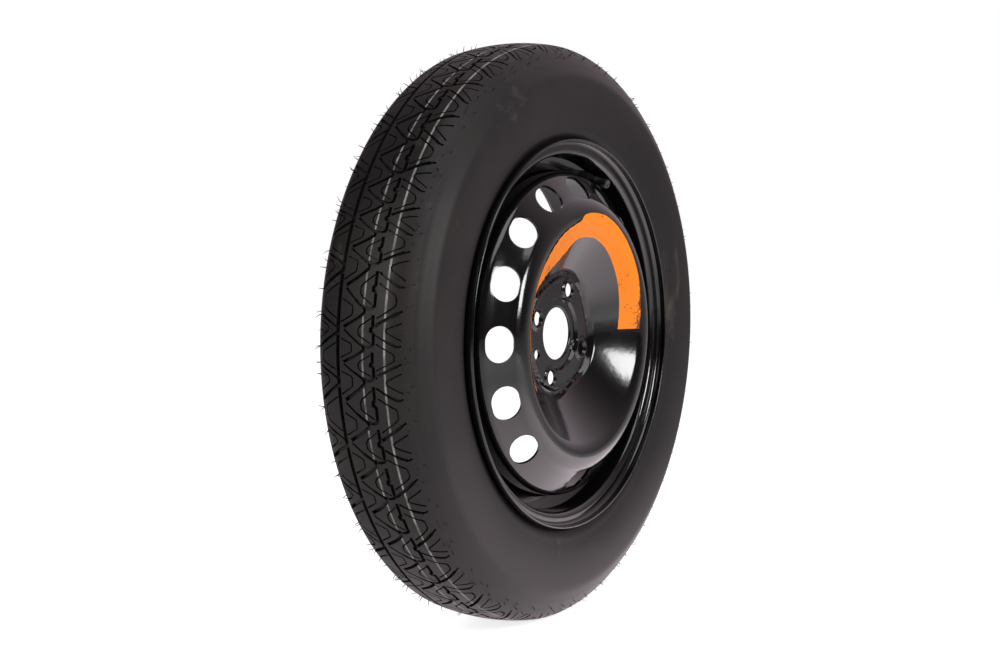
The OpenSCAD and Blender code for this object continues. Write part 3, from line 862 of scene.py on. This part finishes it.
# Printed polyester film: an even orange ink under a satin face, rubbed through to dark
# specks along its outer edge.
film, tree, surface = new_material("printed_film")
place = add(tree, "ShaderNodeTexCoord").outputs["Object"]
specks = add(tree, "ShaderNodeTexNoise", {"Vector": place, "Scale": 420, "Detail": 4, "Roughness": 0.7})
patches = add(tree, "ShaderNodeTexNoise", {"Vector": place, "Scale": 38, "Detail": 3})
both = add(tree, "ShaderNodeMath", {
    0: specks.outputs["Fac"], 1: patches.outputs["Fac"],
}, operation="MULTIPLY")
worn = add(tree, "ShaderNodeValToRGB", {"Fac": both.outputs["Value"]})
worn.color_ramp.elements[0].position = 0.36
worn.color_ramp.elements[0].color = (0, 0, 0, 1)
worn.color_ramp.elements[1].position = 0.41
axes = add(tree, "ShaderNodeSeparateXYZ", {"Vector": place})
edge = add(tree, "ShaderNodeMapRange", {
    "Value": axes.outputs["X"], "From Min": 0.104, "From Max": 0.116, "To Min": 0.0, "To Max": 0.16,
})
bare = add(tree, "ShaderNodeMath", {0: both.outputs["Value"], 1: edge.outputs["Result"]})
tree.links.new(bare.outputs["Value"], worn.inputs["Fac"])
ink = add(tree, "ShaderNodeMix", {"Factor": worn.outputs["Color"]}, data_type="RGBA")
ink.inputs["A"].default_value = linear("#ee7f12")
ink.inputs["B"].default_value = linear("#5a2a12")
tree.links.new(ink.outputs["Result"], surface.inputs["Base Color"])
surface.inputs["Roughness"].default_value = 0.5
surface.inputs["Specular IOR Level"].default_value = 0.25
finished(label, film, "wheel", "label", slot="label")

# The valve is a moulded rubber body round a brass stem. It was pulled into the rim's hole
# from the tyre's side, and its waist grips the hole's edge.
rubber_body, tree, surface = new_material("moulded_valve_rubber")
place = add(tree, "ShaderNodeTexCoord").outputs["Object"]
skin = add(tree, "ShaderNodeTexNoise", {"Vector": place, "Scale": 700, "Detail": 2})
bump = add(tree, "ShaderNodeBump", {"Height": skin.outputs["Fac"], "Strength": 0.15, "Distance": 0.0003})
tree.links.new(bump.outputs["Normal"], surface.inputs["Normal"])
surface.inputs["Base Color"].default_value = linear("#1a1919")
surface.inputs["Roughness"].default_value = 0.45


def turned(name, section, steps):
    """A closed section of radius and height, in millimetres, turned on the valve's axis."""
    radius, height = np.array(section, float).T / 1000
    return spun(name, np.stack([radius, 0 * radius, height], 1), steps, (0, 0, 1))


body_section = np.concatenate([
    [[2.9, -10], [5.0, -10], [5.2, -9.7], [5.9, -6.5], [6.5, -4.6], [6.5, -1.4], [6.2, -1.1]],
    [[5.75, -1.1], [5.75, 1.1], [6.1, 1.1], [6.45, 2.0], [6.5, 3.4]],
    bezier((6.5, 3.4), (6.2, 7), (5.0, 11), 6)[1:],
    [[4.7, 13], [4.7, 14], [4.45, 14.4], [4.45, 15.2], [4.7, 15.6], [4.7, 19], [4.5, 19.4]],
    [[4.5, 21.3], [4.3, 21.6], [2.9, 21.6]],
])
valve_rubber = turned("valve_rubber", body_section, 48)
valve_rubber.data.transform(valve_place)
smoothed(valve_rubber, 45)
finished(valve_rubber, rubber_body, "wheel", "valve_body", slot="rubber")

# The stem is a turned brass tube that the body was moulded onto, with a rolled thread for
# the dust cap. The core screwed into it is brass too, dull from the air.
brass, tree, surface = new_material("turned_brass")
place = add(tree, "ShaderNodeTexCoord").outputs["Object"]
stain = add(tree, "ShaderNodeTexNoise", {"Vector": place, "Scale": 300, "Detail": 3})
tint = add(tree, "ShaderNodeValToRGB", {"Fac": stain.outputs["Fac"]})
tint.color_ramp.elements[0].color = linear("#9c7f3f")
tint.color_ramp.elements[1].color = linear("#d8bd7a")
tree.links.new(tint.outputs["Color"], surface.inputs["Base Color"])
surface.inputs["Metallic"].default_value = 1
surface.inputs["Roughness"].default_value = 0.3
thread_pitch = 0.794
stem_section = [[1.6, -10], [2.9, -10], [2.9, 21.6], [3.45, 21.6]]
for i in range(11):
    stem_section += [[3.45, 22 + thread_pitch * i], [3.85, 22.4 + thread_pitch * i]]
stem_section += [[3.4, 31.2], [3.25, 31.5], [2.55, 31.5], [2.55, 23], [2.1, 21], [2.1, 12], [1.6, 10.5]]
stem = turned("valve_stem_brass", stem_section, 40)
stem.data.transform(valve_place)
smoothed(stem, 25)
finished(stem, brass, "wheel", "valve_stem", slot="brass")


def coat(material, *nodes):
    """Gives the frame's own nodes that material."""
    for node in nodes:
        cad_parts[node].data.materials.clear()
        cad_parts[node].data.materials.append(material)


coat(brass, "core_plug", "core_barrel", "core_pin", "core_cup")

# The core's spring is wound from bright steel wire. Its seals are moulded rubber: a red
# one on the barrel, and a black one at the pin's foot.
wire, tree, surface = new_material("bright_spring_wire")
place = add(tree, "ShaderNodeTexCoord").outputs["Object"]
drawn = add(tree, "ShaderNodeTexNoise", {"Vector": place, "Scale": 900, "Detail": 2})
sheen = add(tree, "ShaderNodeMapRange", {"Value": drawn.outputs["Fac"], "To Min": 0.2, "To Max": 0.4})
tree.links.new(sheen.outputs["Result"], surface.inputs["Roughness"])
surface.inputs["Base Color"].default_value = linear("#c4c4c6")
surface.inputs["Metallic"].default_value = 1
seal_red, tree, surface = new_material("red_seal_rubber")
place = add(tree, "ShaderNodeTexCoord").outputs["Object"]
mottle = add(tree, "ShaderNodeTexNoise", {"Vector": place, "Scale": 800, "Detail": 2})
tint = add(tree, "ShaderNodeValToRGB", {"Fac": mottle.outputs["Fac"]})
tint.color_ramp.elements[0].color = linear("#7c2318")
tint.color_ramp.elements[1].color = linear("#9a3325")
tree.links.new(tint.outputs["Color"], surface.inputs["Base Color"])
surface.inputs["Roughness"].default_value = 0.6
coat(seal_red, "core_gasket")
coat(rubber_body, "core_cup_seal", "cap_seal")

# The spring stands on the barrel's step, under the pin's collar. On the real valve it shortens as the collar
# comes down on it; here it is a copy of the part's spring
spring = bpy.data.objects.new("core_spring_wire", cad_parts["core_spring"].data.copy())
bpy.context.scene.collection.objects.link(spring)
finished(spring, wire, "wheel", "core_spring", slot="spring_steel")
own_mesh(spring)

# The dust cap is moulded nylon, screwed on the stem, with ribs for the fingers and a ring
# moulded on its end.
nylon, tree, surface = new_material("black_nylon")
place = add(tree, "ShaderNodeTexCoord").outputs["Object"]
skin = add(tree, "ShaderNodeTexNoise", {"Vector": place, "Scale": 1200, "Detail": 2})
bump = add(tree, "ShaderNodeBump", {"Height": skin.outputs["Fac"], "Strength": 0.1, "Distance": 0.0002})
tree.links.new(bump.outputs["Normal"], surface.inputs["Normal"])
surface.inputs["Base Color"].default_value = linear("#161616")
surface.inputs["Roughness"].default_value = 0.33
cap_ribs = 14
cap_section = [[0.001, 32.5], [3.93, 32.5], [3.93, 22.5], [4.6, 22.5], [4.8, 22.8], [4.8, 23.4], [4.72, 23.6]]
cap_section += [[4.72, 24 + 0.9 * i] for i in range(8)]
cap_section += [[4.72, 31.1], [4.8, 31.3], [4.8, 33.0]]
cap_section += [list(p) for p in arc((3.8, 33.2), 1.0, 0, 90, 6)]
cap_section += [[3.4, 34.2], [3.2, 34.0], [2.9, 33.8], [0.001, 33.8]]
cap = turned("dust_cap_nylon", cap_section, 12 * cap_ribs)


def ribbed(co):
    r = np.hypot(co[:, 0], co[:, 1])
    angle = np.arctan2(co[:, 1], co[:, 0])
    deep = step((co[:, 2] * 1000 - 23.5) / 0.5) * step((31.2 - co[:, 2] * 1000) / 0.5) * (r > 0.0045)
    share = 1 - 0.075 * deep * np.clip(np.cos(cap_ribs * angle) * 1.6 - 0.2, 0, 1)
    return co * np.stack([share, share, 0 * r + 1], 1)


moved_points(cap, ribbed)
cap.data.transform(valve_place)
smoothed(cap, 35)
finished(cap, nylon, "dust_cap", "valve_cap", slot="cap")

# The studio: a white floor and a white room, with soft boxes over and beside the wheel.
# Only in reflections are both painted pink, with a painted glow on the floor near the wheel and the room
# painted brighter overhead and behind the wheel.
floor_z = -0.3052
# Painted reflection tint: the floor and the room turn pink only for glossy rays
painted_reflection_tint = (1, 0.84, 0.92, 1)
deselect()
bpy.ops.mesh.primitive_plane_add(size=14, location=(0, 0, floor_z))
floor = bpy.context.object
floor.name = "floor"
white, tree, surface = new_material("white_floor")
surface.inputs["Base Color"].default_value = (0.9, 0.9, 0.9, 1)
surface.inputs["Roughness"].default_value = 0.9
path = add(tree, "ShaderNodeLightPath")
seen = add(tree, "ShaderNodeMath", {
    0: path.outputs["Is Camera Ray"], 1: path.outputs["Is Glossy Ray"],
}, operation="MAXIMUM")
tone = add(tree, "ShaderNodeMix", {"Factor": path.outputs["Is Glossy Ray"]}, data_type="RGBA")
tone.inputs["A"].default_value = (1, 1, 1, 1)
tone.inputs["B"].default_value = painted_reflection_tint
tree.links.new(tone.outputs["Result"], surface.inputs["Emission Color"])
place = add(tree, "ShaderNodeTexCoord").outputs["Object"]
away = add(tree, "ShaderNodeVectorMath", {0: place}, operation="DISTANCE")
away.inputs[1].default_value = (0.25, -0.27, 0)
# Painted reflection: only glossy rays see the floor glow, brightest near the wheel and fading away from it
painted_reflection_pool = add(tree, "ShaderNodeMapRange", {
    "Value": away.outputs["Value"], "From Min": 0.32, "From Max": 0.7, "To Min": 1.8, "To Max": 0.15,
})
glow = add(tree, "ShaderNodeMix", {"Factor": path.outputs["Is Glossy Ray"], "B": painted_reflection_pool.outputs["Result"]})
glow.inputs["A"].default_value = 0.76
shown = add(tree, "ShaderNodeMath", {
    0: seen.outputs["Value"], 1: glow.outputs["Result"],
}, operation="MULTIPLY")
tree.links.new(shown.outputs["Value"], surface.inputs["Emission Strength"])
floor.data.materials.append(white)
world = bpy.data.worlds.new("white_room")
bpy.context.scene.world = world
world.use_nodes = True
tree = world.node_tree
path = add(tree, "ShaderNodeLightPath")
seen = add(tree, "ShaderNodeMath", {
    0: path.outputs["Is Camera Ray"], 1: path.outputs["Is Transmission Ray"],
}, operation="MAXIMUM")
level = add(tree, "ShaderNodeMapRange", {"Value": seen.outputs["Value"], "To Min": 0.3, "To Max": 1.0})
way = add(tree, "ShaderNodeTexCoord").outputs["Generated"]
# Painted reflections: only glossy rays see the room brighter overhead and behind the wheel; other rays see it
# evenly
painted_overhead_dot = add(tree, "ShaderNodeVectorMath", {0: way, 1: (0.8, 0, 0.6)}, operation="DOT_PRODUCT")
lit = add(tree, "ShaderNodeMapRange", {"Value": painted_overhead_dot.outputs["Value"], "From Min": 0.3, "From Max": 1.0})
curved = add(tree, "ShaderNodeMath", {0: lit.outputs["Result"], 1: 2.0}, operation="POWER")
painted_overhead_reflection = add(tree, "ShaderNodeMath", {
    0: curved.outputs["Value"], 1: 1.05, 2: 0.07,
}, operation="MULTIPLY_ADD")
painted_behind_dot = add(tree, "ShaderNodeVectorMath", {0: way, 1: (0.84, 0.54, 0)}, operation="DOT_PRODUCT")
painted_behind_reflection = add(tree, "ShaderNodeMapRange", {
    "Value": painted_behind_dot.outputs["Value"], "From Min": 0.72, "From Max": 0.95,
})
painted_reflection_level = add(tree, "ShaderNodeMath", {
    0: painted_overhead_reflection.outputs["Value"], 1: painted_behind_reflection.outputs["Result"],
}, operation="MAXIMUM")
strength = add(tree, "ShaderNodeMix", {
    "Factor": path.outputs["Is Glossy Ray"], "A": level.outputs["Result"], "B": painted_reflection_level.outputs["Value"],
})
tree.links.new(strength.outputs["Result"], tree.nodes["Background"].inputs["Strength"])
tone = add(tree, "ShaderNodeMix", {"Factor": path.outputs["Is Glossy Ray"]}, data_type="RGBA")
tone.inputs["A"].default_value = (1, 1, 1, 1)
tone.inputs["B"].default_value = painted_reflection_tint
tree.links.new(tone.outputs["Result"], tree.nodes["Background"].inputs["Color"])


def soft_box(name, location, target, width, height, power):
    lamp = bpy.data.lights.new(name, "AREA")
    lamp.shape = "RECTANGLE"
    lamp.size, lamp.size_y = width, height
    lamp.energy = power
    box = bpy.data.objects.new(name, lamp)
    bpy.context.scene.collection.objects.link(box)
    box.location = location
    box.rotation_euler = (Vector(target) - Vector(location)).to_track_quat("-Z", "Y").to_euler()


soft_box("top_box", (-0.6, -1.2, 2.0), (0, 0, 0), 1.6, 1.2, 20)
soft_box("side_box", (-2.4, 0.4, 0.9), (0, 0, 0), 1.2, 1.6, 32)
soft_box("front_box", (-0.13, -1.9, 0.6), (0, 0, 0), 0.5, 0.6, 22)
bpy.context.scene.view_settings.view_transform = "Standard"
